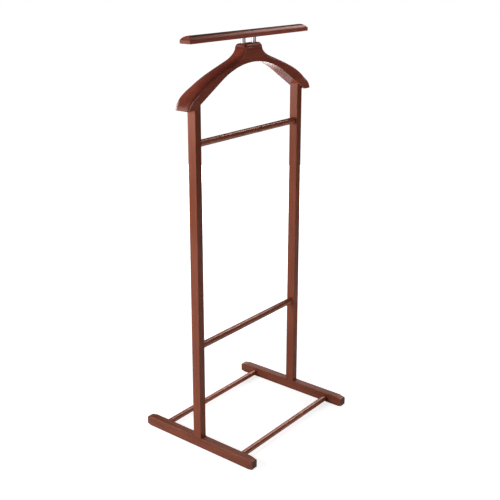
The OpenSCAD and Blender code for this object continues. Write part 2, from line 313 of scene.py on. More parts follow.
def beech_grain():
    """Beech whose grain runs along X: growth rings round a far pith, fibres, short dark
    flecks, a cloudy take-up of stain, and end grain that drinks more of it."""
    tree, given, result = new_group(
        "beech_grain",
        {"Vector": "Vector", "Grain": "Vector", "Light Stain": "Color", "Dark Stain": "Color"},
        {"Color": "Color", "Roughness": "Float", "Height": "Float"},
    )
    wood = given["Vector"]
    wobble = noise(tree, stretched(tree, wood, WOBBLE))
    spoke = stretched(tree, reckon(tree, "ADD", wood, PITH)["Vector"], (0, 1))
    reach = reckon(tree, "LENGTH", spoke)["Value"]
    bent = calculate(tree, "MULTIPLY_ADD", wobble, RING_WANDER, reach)
    wave = calculate(tree, "SINE", calculate(tree, "MULTIPLY", bent, RING_RADIANS))
    ring = calculate(tree, "MULTIPLY_ADD", wave, 0.5, 0.5)
    fibre = noise(tree, stretched(tree, wood, FIBRES), detail=3.0, roughness=0.6)
    bands = stretched(tree, wood, CLOUDS)
    cloud = noise(tree, bands, detail=3.0, roughness=0.55, distortion=0.3)
    streak = noise(tree, stretched(tree, wood, STREAKS))
    cells = add_node(tree, "TexVoronoi", {"Vector": stretched(tree, wood, FLECKS), "Scale": 1.0})
    fleck = fade(tree, cells.outputs["Distance"], *FLECK_RIM)
    tone = calculate(tree, "MULTIPLY", cloud, CLOUD_SHARE)
    tone = calculate(tree, "MULTIPLY_ADD", streak, STREAK_SHARE, tone)
    tone = calculate(tree, "MULTIPLY_ADD", fibre, FIBRE_SHARE, tone)
    tone = calculate(tree, "MULTIPLY_ADD", ring, RING_SHARE, tone)
    tone = calculate(tree, "MULTIPLY_ADD", fleck, FLECK_SHARE, tone)
    surface = add_node(tree, "TexCoord").outputs["Normal"]
    facing = reckon(tree, "DOT_PRODUCT", surface, given["Grain"])["Value"]
    end = fade(tree, calculate(tree, "ABSOLUTE", facing), *END_FACING)
    take_up = fade(tree, tone, *STAIN_TONES)
    stain = blend(tree, take_up, given["Dark Stain"], given["Light Stain"])
    soaked = calculate(tree, "MULTIPLY", end, END_SOAK)
    gloss = calculate(tree, "MULTIPLY_ADD", fibre, FIBRE_ROUGHNESS, LACQUER_ROUGHNESS)
    gloss = calculate(tree, "MULTIPLY_ADD", end, END_ROUGHNESS, gloss)
    relief = calculate(tree, "MULTIPLY_ADD", fleck, FLECK_DEPTH, fibre)
    tree.links.new(blend(tree, soaked, stain, BLACK), result.inputs["Color"])
    tree.links.new(gloss, result.inputs["Roughness"])
    tree.links.new(relief, result.inputs["Height"])
    return tree


PALE_EDGE_PATCHES = (60, 160)
PATCH_LIFT = 0.45
PALE_EDGE_RANGE = (0.45, 1.0)


def wear_and_glint_edges():
    """Where an edge takes the paler colour, partly wear and partly a painted highlight: the piece's
    own value for it, broken up by noise.
    """
    tree, given, result = new_group(
        "wear_and_glint_edges", {"Rub and Glint": "Float", "Vector": "Vector"}, {"Mask": "Float"}
    )
    patch = noise(tree, stretched(tree, given["Vector"], PALE_EDGE_PATCHES))
    wear_and_glint = calculate(tree, "MULTIPLY", given["Rub and Glint"], calculate(tree, "ADD", patch, PATCH_LIFT))
    tree.links.new(fade(tree, wear_and_glint, *PALE_EDGE_RANGE), result.inputs["Mask"])
    return tree


BEECH_GRAIN = beech_grain()
WEAR_AND_GLINT_EDGES = wear_and_glint_edges()
GRAIN_TURN = {"X": (0, 0, 0), "Y": (0, 0, -np.pi / 2), "Z": (0, np.pi / 2, 0)}
GRAIN_AXIS = {"X": (1, 0, 0), "Y": (0, 1, 0), "Z": (0, 0, 1)}
FIBRE_RELIEF = 0.025
RELIEF_DEPTH = 0.0003


def lacquered_beech(name, light, dark, wear_and_glint, grain, offset, shine=0.3, dull=0.0):
    """Stained beech under satin lacquer, with its grain along X, Y or Z.

    The offset gives a piece its own part of the figure. Shine is the lacquer's specular
    level, and dull is added to its roughness."""
    material, tree, shader, place = new_material(name)
    turned = {"Vector": place, "Location": offset, "Rotation": GRAIN_TURN[grain]}
    wood = add_node(tree, "Mapping", turned).outputs["Vector"]
    figure = add_node(
        tree, "Group",
        {"Vector": wood, "Grain": GRAIN_AXIS[grain], "Light Stain": light, "Dark Stain": dark},
        node_tree=BEECH_GRAIN,
    ).outputs
    rub_and_glint = add_node(tree, "Attribute", attribute_name="rub_and_glint").outputs["Fac"]
    edge_wear_and_glint = add_node(tree, "Group", {"Rub and Glint": rub_and_glint, "Vector": wood}, node_tree=WEAR_AND_GLINT_EDGES)
    # The paler colour on the edges is partly wear and partly a painted highlight.
    colour = blend(tree, edge_wear_and_glint.outputs["Mask"], figure["Color"], wear_and_glint)
    relief = {"Strength": FIBRE_RELIEF, "Distance": RELIEF_DEPTH, "Height": figure["Height"]}
    tree.links.new(colour, shader["Base Color"])
    tree.links.new(calculate(tree, "ADD", figure["Roughness"], dull), shader["Roughness"])
    tree.links.new(add_node(tree, "Bump", relief).outputs["Normal"], shader["Normal"])
    shader["Specular IOR Level"].default_value = shine
    return material


# A paler colour for the feet's and posts' edges, partly wear and partly a painted edge highlight.
WORN_AND_GLINT_STAIN = (0.42, 0.15, 0.09, 1)
foot_stain = lacquered_beech(
    "stained_foot", (0.38, 0.102, 0.05, 1), (0.13, 0.032, 0.016, 1), WORN_AND_GLINT_STAIN,
    grain="Y", offset=(0.3, 0.05, 0.02),
)
DOWEL_D = 0.008
DOWEL_LEN = 0.038
FIXING_Y = 0.006
SCREW_D = 0.006
SCREW_HEAD_D = 0.0115
SCREW_SINK = 0.001
SCREW_HEAD_H = (SCREW_HEAD_D - SCREW_D) / 2
ROD_SPIGOT_D = 0.010
ROD_SPIGOT_LEN = 0.014
UP = (0, 0, 1)
RODS = [node_middle("front_base_rod"), node_middle("rear_base_rod")]


def screw_hole(x, top):
    """The cutter for a foot screw: its shank, and a countersink from below."""
    gap = GLUE_GAP
    profile = [
        (-CUT, SCREW_HEAD_D / 2 + gap), (SCREW_SINK, SCREW_HEAD_D / 2 + gap),
        (SCREW_SINK + SCREW_HEAD_H, SCREW_D / 2 + gap), (top + CUT, SCREW_D / 2 + gap),
    ]
    return make_piece("cutter", turned_surface(profile, (x, -FIXING_Y, 0), UP))


for side, hand in SIDES.items():
    low, high = node_box(side + "_foot")
    post_half = node_box(side + "_post")[1][1]
    middle = (low[0] + high[0]) / 2
    inner = low[0] if hand > 0 else high[0]
    points, rub_and_glint = foot_surface(low, high, post_half)
    foot = make_piece(side + "_foot_bar", points, rub_and_glint)
    sockets = [
        hole(ROD_SPIGOT_D, (inner, rod[1], rod[2]), (hand, 0, 0),
             -CUT, ROD_SPIGOT_LEN + HOLE_SPARE)
        for rod in RODS
    ]
    dowel_hole = hole(DOWEL_D, (middle, FIXING_Y, 0), UP,
                      high[2] - DOWEL_LEN / 2 - HOLE_SPARE, high[2] + CUT)
    cutters = [*sockets, dowel_hole, screw_hole(middle, high[2])]
    finish_piece(foot, foot_stain, side + "_foot", cutters)

# ---------------------------------------------------------------------------------------
# The posts: two square bars of stained beech. Each stands flush on its foot, with a dowel
# and a screw, and its head is cut to the slope of the hanger's arch, with two dowels. The
# crossbars' spigots sit in blind holes on the inner faces.
# ---------------------------------------------------------------------------------------
POST_EDGE = 0.0013
BAR_SPIGOT_D = 0.012
BAR_SPIGOT_LEN = 0.014
SCREW_LEN = 0.068
POST_RINGS = 24
CROSSBARS = [node_middle("upper_crossbar"), node_middle("lower_crossbar")]


def rounded_rectangle(half_x, half_y, radius):
    """Rings of a rectangle with round corners, and how far round each corner a point is.

    Over each quarter turn a point is the corner arc's centre plus the radius times the
    turn's direction. Sizes may be single values or one for each ring."""
    quarter = np.linspace(0, np.pi / 2, ARC_STEPS + 1)
    turn = (quarter + np.arange(4)[:, None] * np.pi / 2).ravel()
    sign_x = np.repeat([1, -1, -1, 1], ARC_STEPS + 1)
    sign_y = np.repeat([1, 1, -1, -1], ARC_STEPS + 1)
    half_x, half_y, radius = (np.atleast_1d(size)[:, None] for size in (half_x, half_y, radius))
    x = sign_x * (half_x - radius) + radius * np.cos(turn)
    y = sign_y * (half_y - radius) + radius * np.sin(turn)
    return x, y, np.tile(np.sin(2 * quarter), 4)


def post_surface(low, high, hand, drop):
    """Points of a post in level rings, whose head slopes down outwards by drop."""
    half = (high - low) / 2
    middle = (high + low) / 2
    # Painted edge highlight and wear: the corners take the paler colour, most at the middle of each
    # round.
    x, y, rub_and_glint = rounded_rectangle(half[0], half[1], POST_EDGE)
    outwards = (hand * x / half[0] + 1) / 2
    share = np.linspace(0, 1, POST_RINGS)[:, None]
    z = low[2] + share * (high[2] - drop * outwards - low[2])
    x, y, rub_and_glint = (np.broadcast_to(part, z.shape) for part in (x + middle[0], y + middle[1], rub_and_glint))
    return np.dstack([x, y, z]), rub_and_glint


post_stain = lacquered_beech(
    "stained_post", (0.37, 0.092, 0.042, 1), (0.17, 0.038, 0.018, 1), WORN_AND_GLINT_STAIN,
    grain="Z", offset=(0.13, 0.31, 0.07), shine=0.25,
)
# The hanger's arch: a round crown whose tangents run straight down to the hanger's ends
SEAT_MARGIN = 0.005
ARCH_RISE = 0.095
CROWN_R = 0.245
arch_end = node_box("right_post")[1][0] + SEAT_MARGIN
crown_mid = ARCH_RISE - CROWN_R
arch_far = np.hypot(arch_end, crown_mid)
crown_turn = np.arctan2(arch_end, -crown_mid) - np.arccos(CROWN_R / arch_far)

for side, hand in SIDES.items():
    low, high = node_box(side + "_post")
    middle = (low[0] + high[0]) / 2
    inner = low[0] if hand > 0 else high[0]
    drop = np.tan(crown_turn) * (high[0] - low[0])
    points, rub_and_glint = post_surface(low, high, hand, drop)
    post = make_piece(side + "_post_bar", points, rub_and_glint)
    joint = high[2] - drop / 2
    sockets = [
        hole(BAR_SPIGOT_D, (inner, bar[1], bar[2]), (hand, 0, 0),
             -CUT, BAR_SPIGOT_LEN + HOLE_SPARE)
        for bar in CROSSBARS
    ]
    screw_top = SCREW_SINK + SCREW_LEN + HOLE_SPARE
    foot_holes = [
        hole(DOWEL_D, (middle, FIXING_Y, 0), UP,
             low[2] - CUT, low[2] + DOWEL_LEN / 2 + HOLE_SPARE),
        hole(SCREW_D, (middle, -FIXING_Y, 0), UP, low[2] - CUT, screw_top),
    ]
    head_holes = [
        hole(DOWEL_D, (middle, y, 0), UP,
             joint - DOWEL_LEN / 2 - HOLE_SPARE, joint + DOWEL_LEN / 2)
        for y in (-FIXING_Y, FIXING_Y)
    ]
    finish_piece(post, post_stain, side + "_post",
                 sockets + foot_holes + head_holes)

# ---------------------------------------------------------------------------------------
# The crossbars and base rods: round bars of stained beech, turned with a shoulder and a
# spigot at each end. The spigots are glued into the posts and the feet.
# ---------------------------------------------------------------------------------------
SHOULDER_EASE = 0.0003
SPIGOT_CHAMFER = 0.001
SHOULDER_RING = 0.05

bar_stain = lacquered_beech(
    "stained_bar", (0.6, 0.152, 0.067, 1), (0.19, 0.043, 0.02, 1), WORN_AND_GLINT_STAIN,
    grain="X", offset=(0.21, 0.02, 0.44), shine=0.95, dull=-0.03,
)


def bar_surface(low, high, spigot_d, spigot_len):
    """Points of a round bar along X: its half profile, mirrored, turned round its axis."""
    end = high[0]
    shoulder = end - spigot_len
    radius = (high[2] - low[2]) / 2
    half_profile = [
        (shoulder - SHOULDER_RING, radius), (shoulder - SHOULDER_EASE, radius),
        (shoulder, radius - SHOULDER_EASE), (shoulder, spigot_d / 2),
        (end - SPIGOT_CHAMFER, spigot_d / 2), (end, spigot_d / 2 - SPIGOT_CHAMFER),
    ]
    half_profile = np.array(half_profile)
    profile = np.concatenate([half_profile[::-1] * (-1, 1), half_profile])
    centre = (0, (low[1] + high[1]) / 2, (low[2] + high[2]) / 2)
    return turned_surface(profile, centre, (1, 0, 0))


BARS = {
    "upper_crossbar": (BAR_SPIGOT_D, BAR_SPIGOT_LEN),
    "lower_crossbar": (BAR_SPIGOT_D, BAR_SPIGOT_LEN),
    "front_base_rod": (ROD_SPIGOT_D, ROD_SPIGOT_LEN),
    "rear_base_rod": (ROD_SPIGOT_D, ROD_SPIGOT_LEN),
}
for node, spigot in BARS.items():
    bar = make_piece(node + "_turned", bar_surface(*node_box(node), *spigot))
    finish_piece(bar, bar_stain, node)

# ---------------------------------------------------------------------------------------
# The hanger: one carved blank of stained beech, with a neck in the middle, a shoulder on
# each side and a round arch below. Its front is flat up to a ridge, where the rounding of
# the top starts, and it sits on the posts' heads with two dowels each.
# ---------------------------------------------------------------------------------------
END_FLARE = 0.005
NECK_HALF = 0.0355
NECK_CORNER = 0.006
NECK_FRONT_R = 0.010
NECK_BACK_R = 0.013
ARM_FRONT_R = 0.0165
ARM_BACK_R = 0.017
TIP_FRONT_R = 0.004
TIP_BACK_R = 0.003
TIP_RUN = 0.022
NECK_FOOT = np.array([0.083, 0.103])
NECK_LEAN = np.array([0.002, -0.013])
NECK_SWEEP = np.array([-0.024, 0.00876])
SHOULDER_RUN = np.array([0.088, -0.03212])
TIP_PULL = np.array([-0.008, 0.047])
TOP_PATH = 0.020
CORNER_PATH = 0.022
FOOT_PATH = 0.058
RIDGE_BREAK = 0.25
RIDGE_W = 0.0016
BACK_EDGE_W = 0.006
# Painted highlights in the hanger's pale colour: a light line along the ridge, strongest at the
# neck and towards the tips, and a pale strip on the back edge low at the tips.
RIDGE_GLINT = np.array([0.6, 1, 0.7])
LEAST_RIDGE_GLINT = 0.4
NECK_GLINT = 0.5
BACK_EDGE_GLINT = 0.45
TIP_GLINT_HEIGHT = 0.06
HANGER_EDGE = 0.0012
HANGER_EDGE_STEPS = 3
HANGER_EDGE_TURN = np.radians(50)
NECK_STEPS = 8
SIDE_STEPS = 26
SHOULDER_STEPS = 92
ROUND_STEPS = 12
TIP_GLINT_ROWS = 9

hanger_low, hanger_high = node_box("hanger")
post_inner, post_outer = (corner[0] for corner in node_box("right_post"))
crown_path = CROWN_R * crown_turn
arch_path = crown_path + np.sqrt(arch_far ** 2 - CROWN_R ** 2)


def arch_points(path):
    """Points of the arch: a round crown up to crown_path, then its tangent, straight on."""
    turn = np.minimum(path, crown_path) / CROWN_R
    along = np.maximum(path - crown_path, 0)
    x = CROWN_R * np.sin(turn) + along * np.cos(crown_turn)
    return np.stack([x, crown_mid + CROWN_R * np.cos(turn) - along * np.sin(crown_turn)], 1)


def bezier(points, steps):
    """Points of a cubic Bezier curve after its first one."""
    t = np.linspace(0, 1, steps + 1)[1:, None]
    a, b, c, d = points
    return (1 - t) ** 3 * a + 3 * (1 - t) ** 2 * t * b + 3 * (1 - t) * t * t * c + t ** 3 * d


def hanger_stations():
    """The upper outline of the right half, and the arch's path length below each point.

    The outline is the neck's level top, a corner arc, a curve down to the neck's foot and a
    curve over the shoulder to its tip."""
    top = hanger_high[2] - hanger_low[2]
    flat = np.linspace(0, NECK_HALF - NECK_CORNER, NECK_STEPS)
    turn = np.linspace(0, np.pi / 2, NECK_STEPS)[1:]
    corner_x = NECK_HALF - NECK_CORNER * (1 - np.sin(turn))
    corner_z = top - NECK_CORNER * (1 - np.cos(turn))
    neck_side = np.array([NECK_HALF, top - NECK_CORNER])
    tip = np.array([hanger_high[0], 0])
    side = bezier([neck_side, neck_side + NECK_LEAN, NECK_FOOT + NECK_SWEEP, NECK_FOOT], SIDE_STEPS)
    shoulder = bezier([NECK_FOOT, NECK_FOOT + SHOULDER_RUN, tip + TIP_PULL, tip], SHOULDER_STEPS)
    outline = np.concatenate([
        np.stack([flat, flat * 0 + top], 1), np.stack([corner_x, corner_z], 1), side, shoulder,
    ])
    path = np.concatenate([
        np.linspace(0, TOP_PATH, NECK_STEPS),
        np.linspace(TOP_PATH, CORNER_PATH, NECK_STEPS)[1:],
        np.linspace(CORNER_PATH, FOOT_PATH, SIDE_STEPS + 1)[1:],
        np.linspace(FOOT_PATH, arch_path, SHOULDER_STEPS + 1)[1:],
    ])
    return outline, arch_points(path)


def hanger_surface():
    """Points of the hanger, one ring for each station along it, and how much pale colour each
    takes.

    A ring stands on the line from the arch to the outline. It goes up the flat front, over
    a front and a back quarter round, whose radii ease from neck to shoulder to tip, and down
    the back. The front round is drawn in towards its chord, which leaves the ridge. The lower
    edges show wear, and a painted highlight lies on the ridge at the neck and towards the
    tips, and on the back edge low at the tips."""
    top, foot = hanger_stations()
    reach = np.linalg.norm(top - foot, axis=1)
    up = (top - foot) / reach[:, None]
    x, tip = top[:, 0], top[-1, 0]
    to_arm = smooth((x - NECK_HALF) / (NECK_FOOT[0] - NECK_HALF))
    to_tip = smooth((x - post_inner) / (tip - post_inner))
    to_end = smooth((x - tip + TIP_RUN) / TIP_RUN)
    front_r = NECK_FRONT_R + (ARM_FRONT_R - NECK_FRONT_R) * to_arm
    front_r = front_r + (TIP_FRONT_R - front_r) * to_end
    back_r = NECK_BACK_R + (ARM_BACK_R - NECK_BACK_R) * to_arm
    back_r = back_r + (TIP_BACK_R - back_r) * to_tip
    front = np.full_like(x, hanger_low[1])
    back = hanger_high[1] - END_FLARE * (1 - (x / tip) ** 2)
    turn = np.linspace(0, np.pi / 2, ROUND_STEPS + 1)
    chord = np.linspace(0, 1, ROUND_STEPS + 1)
    rise = (1 - RIDGE_BREAK) * np.sin(turn) + RIDGE_BREAK * chord
    run = (1 - RIDGE_BREAK) * (1 - np.cos(turn)) + RIDGE_BREAK * chord
    height = [0 * x, 0 * x + RIDGE_W, reach - front_r - RIDGE_W]
    height += list((reach[:, None] - front_r[:, None] * (1 - rise)).T) + [reach]
    height += list((reach[:, None] - back_r[:, None] * (1 - np.cos(turn))).T)
    height += [0 * x + RIDGE_W, 0 * x, 0 * x, 0 * x]
    y = [front] * 3
    y += list((front[:, None] + front_r[:, None] * run).T)
    y += [np.maximum(front + front_r, back - back_r - BACK_EDGE_W)]
    y += list((back[:, None] - back_r[:, None] * (1 - np.sin(turn))).T)
    y += [back, back, back - RIDGE_W, front + RIDGE_W]
    height, y = np.stack(height, 1), np.stack(y, 1)
    flat = foot[:, None] + height[..., None] * up[:, None]
    half = np.dstack([flat[..., 0], y, flat[..., 1] + hanger_low[2]])
    rub_and_glint = np.zeros_like(y)
    lower_edges = [0, -3]
    ridge = 3
    crest = ridge + ROUND_STEPS + 1
    rub_and_glint[:, lower_edges] = 1
    # Painted highlights: the ridge's rows and the back edge near the tips take the pale colour.
    ridge_glint_share = np.maximum(to_tip, NECK_GLINT * (1 - to_arm))
    rub_and_glint[:, ridge - 1:ridge + 2] = RIDGE_GLINT * (LEAST_RIDGE_GLINT + (1 - LEAST_RIDGE_GLINT) * ridge_glint_share[:, None])
    tip_glint = smooth(1 - top[:, 1] / TIP_GLINT_HEIGHT)
    rub_and_glint[:, crest] = BACK_EDGE_GLINT * tip_glint
    rub_and_glint[:, crest + 1:crest + 1 + TIP_GLINT_ROWS] = tip_glint[:, None]
    mirrored = half[:0:-1] * (-1, 1, 1)
    return np.concatenate([mirrored, half]), np.concatenate([rub_and_glint[:0:-1], rub_and_glint])


# The hanger's pale third colour paints highlights on the ridge and the tips' back edges, and shows
# wear on the lower edges.
hanger_stain = lacquered_beech(
    "stained_hanger", (0.6, 0.134, 0.076, 1), (0.16, 0.036, 0.023, 1), (0.95, 0.74, 0.66, 1),
    grain="X", offset=(0.05, 0.23, 0.11),
)
STUD_D = 0.006
STUD_IN_NECK = 0.024
sleeve_x = [node_middle(side + "_rail_sleeve")[0] for side in SIDES]
points, rub_and_glint = hanger_surface()
hanger = make_piece("hanger_carved", points, rub_and_glint)
eased = hanger.modifiers.new("eased edges", "BEVEL")
eased.width = HANGER_EDGE
eased.segments = HANGER_EDGE_STEPS
eased.limit_method = "ANGLE"
eased.angle_limit = HANGER_EDGE_TURN
post_middle = (post_inner + post_outer) / 2
joint = hanger_low[2] + (arch_end - post_middle) * np.tan(crown_turn)
dowel_holes = [
    hole(DOWEL_D, (hand * post_middle, y, 0), UP,
         joint - DOWEL_LEN / 2, joint + DOWEL_LEN / 2 + HOLE_SPARE)
    for hand in SIDES.values() for y in (-FIXING_Y, FIXING_Y)
]
stud_holes = [
    hole(STUD_D, (x, 0, hanger_high[2]), UP, -STUD_IN_NECK - HOLE_SPARE, CUT) for x in sleeve_x
]
finish_piece(hanger, hanger_stain, "hanger", dowel_holes + stud_holes)

# ---------------------------------------------------------------------------------------
# The top rail: a bar of stained beech, flat below, with upright sides and a top that is
# rounded across its width and down to its ends. Two studs hold it over the neck.
# ---------------------------------------------------------------------------------------
RAIL_SIDE = 0.008
RAIL_END_RUN = 0.015
RAIL_EDGE = 0.0012
RAIL_CORNER = 0.0018
RAIL_CORNER_SHARE = 0.8
RAIL_RUB = 0.6
RAIL_RIDGE = 0.0004
RAIL_STEPS = 16
STUD_IN_RAIL = 0.013


def rail_surface(low, high):
    """Points of the rail in level rings, from its underside up to its ridge.

    The lower edge is a quarter round and the side goes straight up. Above it each ring lies
    on an arc over the width, and it is drawn in at the ends in step with its draw on the
    sides, so that the ends slope up to the ridge."""
    half = (high - low) / 2
    crest = high[2] - low[2] - RAIL_SIDE
    arc_r = (half[1] ** 2 + crest ** 2) / (2 * crest)
    turn = np.linspace(0, np.pi / 2, ARC_STEPS + 1)
    lower_in = RAIL_EDGE * (1 - np.sin(turn))
    lower_z = RAIL_EDGE * (1 - np.cos(turn))
    widest = np.arcsin(half[1] / arc_r)
    narrowest = np.arcsin(RAIL_RIDGE / arc_r)
    lean = np.linspace(widest, narrowest, RAIL_STEPS)
    upper_in = half[1] - arc_r * np.sin(lean)
    upper_z = RAIL_SIDE + crest - arc_r * (1 - np.cos(lean))
    inset = np.concatenate([lower_in, [0], upper_in])
    z = np.concatenate([lower_z, [RAIL_SIDE - RIDGE_W], upper_z])
    half_y = half[1] - inset
    end_share = np.concatenate([lower_in / RAIL_END_RUN, [0], upper_in / half[1]])
    half_x = half[0] - end_share * RAIL_END_RUN
    radius = np.minimum(RAIL_CORNER, half_y * RAIL_CORNER_SHARE)
    x, y, _ = rounded_rectangle(half_x, half_y, radius)
    rub_and_glint = np.zeros_like(x)
    upper_edge = len(lower_in) + 1
    rub_and_glint[upper_edge] = RAIL_RUB
    z = np.broadcast_to(z[:, None] + low[2], x.shape)
    return np.dstack([x, y, z]), rub_and_glint


rail_stain = lacquered_beech(
    "stained_rail", (0.7, 0.174, 0.12, 1), (0.36, 0.088, 0.06, 1), (0.5, 0.25, 0.2, 1),
    grain="X", offset=(0.41, 0.09, 0.33), shine=0.2, dull=0.06,
)
rail_low, rail_high = node_box("top_rail")
points, rub_and_glint = rail_surface(rail_low, rail_high)
rail = make_piece("top_rail_shaped", points, rub_and_glint)
stud_holes = [
    hole(STUD_D, (x, 0, rail_low[2]), UP, -CUT, STUD_IN_RAIL + HOLE_SPARE) for x in sleeve_x
]
finish_piece(rail, rail_stain, "top_rail", stud_holes)

# ---------------------------------------------------------------------------------------
# The sleeves: two short chrome-plated tubes, cut square and eased, that space the rail off
# the neck.
# ---------------------------------------------------------------------------------------
SLEEVE_WALL = 0.0025
SLEEVE_EASE = 0.0004
POLISHING_LINES = (300, 4000)
CHROME_DARK = (0.72, 0.73, 0.76, 1)
CHROME_LIGHT = (0.84, 0.85, 0.87, 1)
CHROME_ROUGHNESS = 0.05
POLISHING_ROUGHNESS = 0.06


def chrome_plate():
    """Polished chrome with faint polishing lines round the tube."""
    material, tree, shader, place = new_material("chrome_plate")
    lines = noise(tree, stretched(tree, place, POLISHING_LINES))
    dull = calculate(tree, "MULTIPLY_ADD", lines, POLISHING_ROUGHNESS, CHROME_ROUGHNESS)
    tree.links.new(blend(tree, lines, CHROME_DARK, CHROME_LIGHT), shader["Base Color"])
    tree.links.new(dull, shader["Roughness"])
    shader["Metallic"].default_value = 1.0
    return material


def base_middle(low, high):
    """The middle of a box's underside, where the axis of an upright piece starts."""
    return (low[0] + high[0]) / 2, (low[1] + high[1]) / 2, low[2]


chrome = chrome_plate()
for side in SIDES:
    low, high = node_box(side + "_rail_sleeve")
    radius = (high[0] - low[0]) / 2
    bore = radius - SLEEVE_WALL
    tall = high[2] - low[2]
    profile = [
        (0, radius - SLEEVE_EASE), (SLEEVE_EASE, radius), (tall - SLEEVE_EASE, radius),
        (tall, radius - SLEEVE_EASE), (tall, bore), (0, bore),
    ]
    rings = turned_surface(profile, base_middle(low, high), UP)
    sleeve = make_piece(side + "_sleeve_tube", rings, bored=True)
    finish_piece(sleeve, chrome, side + "_rail_sleeve")

# ---------------------------------------------------------------------------------------
# The studs and foot screws: zinc-plated steel. A threaded stud runs through each sleeve into
# the rail and the neck. A countersunk screw with a hexagon socket comes up through each foot
# into the end grain of its post.
# ---------------------------------------------------------------------------------------
STUD_TAPER = STUD_D / 4
STUD_PITCH = 0.001
STUD_THREAD = 0.0005
SCREW_PITCH = 0.0022
SCREW_THREAD = 0.0009
SCREW_THREAD_LEN = 0.042
SCREW_POINT = SCREW_D / 2
SCREW_POINT_D = SCREW_D / 3
SCREW_KEY_D = 0.0046
ROWS_PER_PITCH = 8


def thread_depth(height, pitch, depth):
    """How far a thread lies in from its crest, for each height and each turn.

    A share climbs from 0 to 1 over each pitch, less one turn's share of the way round, and is
    folded about its half into a triangle of the thread's depth."""
    turn = np.arange(ROUND_SIDES) / ROUND_SIDES
    share = (height[:, None] / pitch - turn) % 1
    return -depth * np.abs(2 * share - 1)


def stud_surface(low, high):
    """Points of a stud: a rod whose ends taper, cut by a thread along its whole length."""
    tall = high[2] - low[2]
    radius = (high[0] - low[0]) / 2
    height = np.linspace(0, tall, int(tall / STUD_PITCH) * ROWS_PER_PITCH)
    from_end = np.minimum(height, tall - height)
    outline = radius - np.maximum(STUD_TAPER - from_end, 0)
    wave = thread_depth(height, STUD_PITCH, STUD_THREAD)
    return turned_surface(np.stack([height, outline], 1), base_middle(low, high), UP, wave)


def screw_surface(low, high):
    """Points of a foot screw, from the bottom of its socket, over its head, to its point.

    The socket's radius at a turn is its half width over the cosine of the angle from the
    middle of that flat. The thread's depth grows from nothing over its first pitch."""
    tall = high[2] - low[2]
    turn = np.arange(ROUND_SIDES) * 2 * np.pi / ROUND_SIDES
    from_flat = (turn + np.pi / 6) % (np.pi / 3) - np.pi / 6
    socket = SCREW_KEY_D / 2 * np.cos(np.pi / 6) / np.cos(from_flat)
    head = np.array([
        (SCREW_HEAD_H, 0), (0, 0), (0, (high[0] - low[0]) / 2), (SCREW_HEAD_H, SCREW_D / 2),
    ])
    start = tall - SCREW_THREAD_LEN
    height = np.linspace(start, tall, int(SCREW_THREAD_LEN / SCREW_PITCH) * ROWS_PER_PITCH)
    to_point = np.clip((height - tall + SCREW_POINT) / SCREW_POINT, 0, 1)
    outline = (SCREW_D + (SCREW_POINT_D - SCREW_D) * to_point) / 2
    grown = np.clip((height - start) / SCREW_PITCH, 0, 1) * (1 - to_point)
    thread = thread_depth(height, SCREW_PITCH, SCREW_THREAD) * grown[:, None]
    wave = np.concatenate([[socket, socket], np.zeros((2, ROUND_SIDES)), thread])
    profile = np.concatenate([head, np.stack([height, outline], 1)])
    return turned_surface(profile, base_middle(low, high), UP, wave)


ZINC_CLOUDS = (400, 400)
ZINC_LINES = (900, 2500)
ZINC_DARK = (0.42, 0.43, 0.45, 1)
ZINC_LIGHT = (0.62, 0.63, 0.65, 1)
ZINC_ROUGHNESS = 0.28
ZINC_LINES_ROUGHNESS = 0.2


def zinc_plate():
    """Zinc-plated steel, dull and a little cloudy, with fine lines round it."""
    material, tree, shader, place = new_material("zinc_plate")
    cloud = noise(tree, stretched(tree, place, ZINC_CLOUDS), detail=3.0)
    lines = noise(tree, stretched(tree, place, ZINC_LINES))
    dull = calculate(tree, "MULTIPLY_ADD", lines, ZINC_LINES_ROUGHNESS, ZINC_ROUGHNESS)
    tree.links.new(blend(tree, cloud, ZINC_DARK, ZINC_LIGHT), shader["Base Color"])
    tree.links.new(dull, shader["Roughness"])
    shader["Metallic"].default_value = 1.0
    return material


zinc = zinc_plate()
for side in SIDES:
    stud = make_piece(side + "_stud_threaded", stud_surface(*node_box(side + "_rail_stud")))
    finish_piece(stud, zinc, side + "_rail_stud")
    screw = make_piece(side + "_screw_threaded", screw_surface(*node_box(side + "_foot_screw")))
    finish_piece(screw, zinc, side + "_foot_screw")

# ---------------------------------------------------------------------------------------
# The dowels: bare beech with tapered ends and pressed flutes. One joins each foot to its
# post beside the screw, and two join each post's head to the hanger.
# ---------------------------------------------------------------------------------------
DOWEL_TAPER = DOWEL_D / 8
FLUTES = 16
FLUTE_DEPTH = 0.0004
BARE_LIGHT = (0.68, 0.49, 0.31, 1)
BARE_DARK = (0.5, 0.32, 0.18, 1)
BARE_ROUGHNESS = 0.3


def dowel_surface(low, high):
    """Points of a dowel: its profile turned, less a cosine's worth of flute for each turn."""
    tall = high[2] - low[2]
    radius = (high[0] - low[0]) / 2
    profile = [
        (0, radius - DOWEL_TAPER), (DOWEL_TAPER, radius),
        (tall - DOWEL_TAPER, radius), (tall, radius - DOWEL_TAPER),
    ]
    turn = np.arange(ROUND_SIDES) * 2 * np.pi / ROUND_SIDES
    wave = -FLUTE_DEPTH * (1 - np.cos(FLUTES * turn)) / 2
    return turned_surface(profile, base_middle(low, high), UP, wave)


